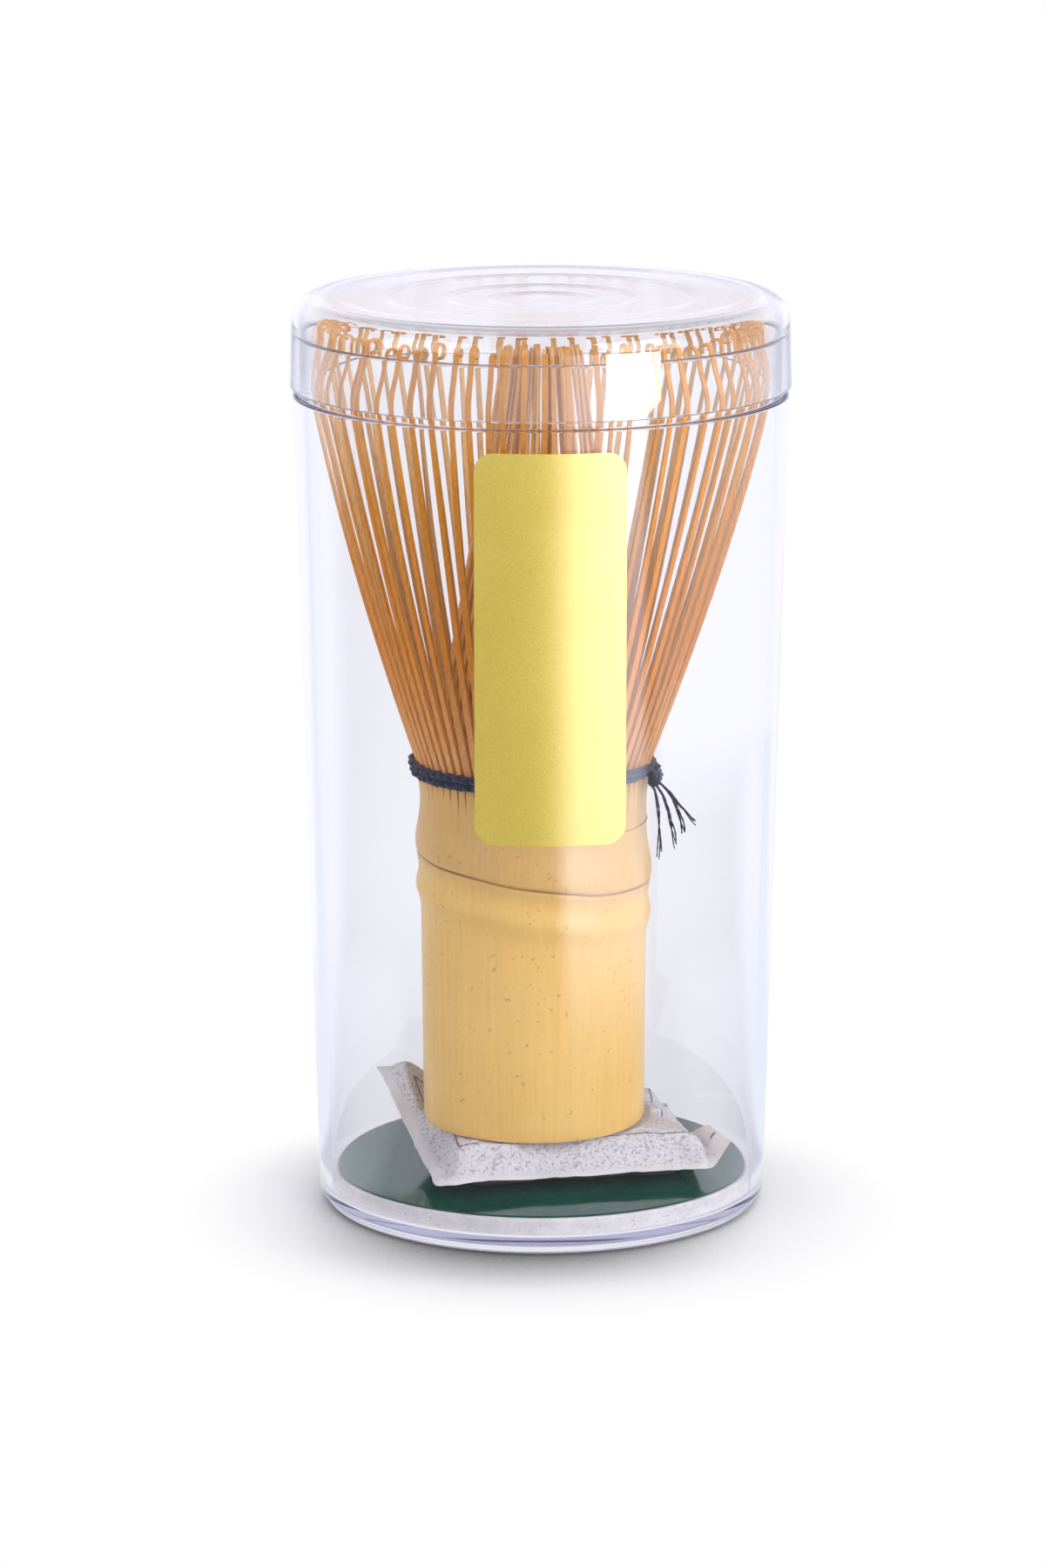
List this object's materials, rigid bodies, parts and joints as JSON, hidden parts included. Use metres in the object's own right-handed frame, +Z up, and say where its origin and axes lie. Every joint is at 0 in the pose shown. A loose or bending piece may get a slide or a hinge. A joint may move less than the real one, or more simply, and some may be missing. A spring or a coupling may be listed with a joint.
{
  "type": "bamboo tea whisk in a clear case",
  "caption": "Bamboo tea whisk with curled split tines and a thread binding, standing on a desiccant sachet in a clear round case with a pull-off lid and a plain gold label.",
  "frame": {"origin": "centre of the case's foot ring, on the surface that the case stands on", "axes": "+Z up along the case's axis, -Y towards the front with the label, +X to the right"},
  "size_m": [0.064, 0.064, 0.1186],
  "materials": {
    "clear_polystyrene": "clear, polished mould",
    "gold_foil": "satin gold foil on paper, bare of print",
    "white_board": "white paperboard",
    "green_print": "green print, satin",
    "sachet_paper": "creased desiccant paper",
    "silica_gel": "white beads",
    "bamboo_culm": "smooth waxy culm skin",
    "split_bamboo": "split and scraped bamboo",
    "inner_bamboo": "split and scraped bamboo, darker",
    "navy_thread": "twisted cotton thread"
  },
  "bodies": {
    "case": {"case_tube": "clear_polystyrene", "front_label": "gold_foil", "base_board": "white_board", "base_card": "green_print"},
    "sachet": {"sachet_bottom_sheet": "sachet_paper", "desiccant_fill": "silica_gel", "sachet_top_sheet": "sachet_paper"},
    "whisk": {"whisk_handle": "bamboo_culm", "binding_thread": "navy_thread", "thread_knot": "navy_thread", "thread_tails": "navy_thread", "outer_tines_01": "split_bamboo", "outer_tines_02": "split_bamboo", "outer_tines_03": "split_bamboo", "outer_tines_04": "split_bamboo", "outer_tines_05": "split_bamboo", "outer_tines_06": "split_bamboo", "outer_tines_07": "split_bamboo", "outer_tines_08": "split_bamboo", "outer_tines_09": "split_bamboo", "outer_tines_10": "split_bamboo", "outer_tines_11": "split_bamboo", "outer_tines_12": "split_bamboo", "inner_tines_01": "inner_bamboo", "inner_tines_02": "inner_bamboo", "inner_tines_03": "inner_bamboo", "inner_tines_04": "inner_bamboo", "inner_tines_05": "inner_bamboo", "inner_tines_06": "inner_bamboo", "inner_tines_07": "inner_bamboo", "inner_tines_08": "inner_bamboo", "inner_tines_09": "inner_bamboo", "inner_tines_10": "inner_bamboo", "inner_tines_11": "inner_bamboo", "inner_tines_12": "inner_bamboo"},
    "lid": {"lid": "clear_polystyrene"}
  },
  "joints": [
    {"name": "sachet_lift", "type": "slide", "parent": "case", "child": "sachet", "axis": [0, 0, 1], "range_m": [0, 0.112]},
    {"name": "whisk_lift", "type": "slide", "parent": "sachet", "child": "whisk", "axis": [0, 0, 1], "range_m": [0, 0.106]},
    {"name": "lid_pull", "type": "slide", "parent": "whisk", "child": "lid", "axis": [0, 0, 1], "range_m": [0, 0.03]}
  ]
}
